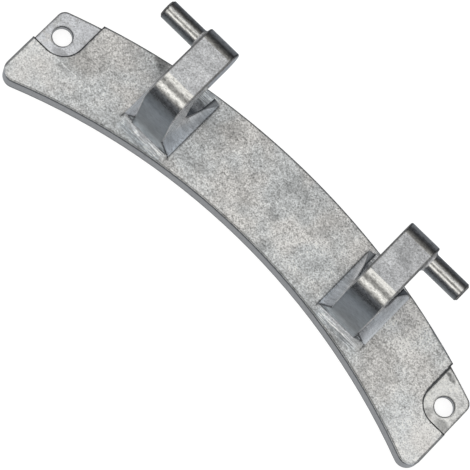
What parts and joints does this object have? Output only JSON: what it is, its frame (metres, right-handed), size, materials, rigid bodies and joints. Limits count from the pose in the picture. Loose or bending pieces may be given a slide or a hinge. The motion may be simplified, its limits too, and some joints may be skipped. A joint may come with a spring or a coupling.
{
  "type": "washing machine door hinge",
  "caption": "Curved die-cast metal plate with stepped screw lugs at its ends and upright hook arms that carry outward-facing hinge pins.",
  "frame": {"origin": "midway between the two screw holes, on the flat back face", "axes": "+X along the row of screw holes, +Y towards the convex edge and the pins, +Z out of the back face towards the hook arms"},
  "size_m": [0.2164, 0.0573, 0.0555],
  "materials": {
    "cast_metal": "satin"
  },
  "bodies": {
    "root": {"hinge_casting": "cast_metal"}
  },
  "joints": []
}
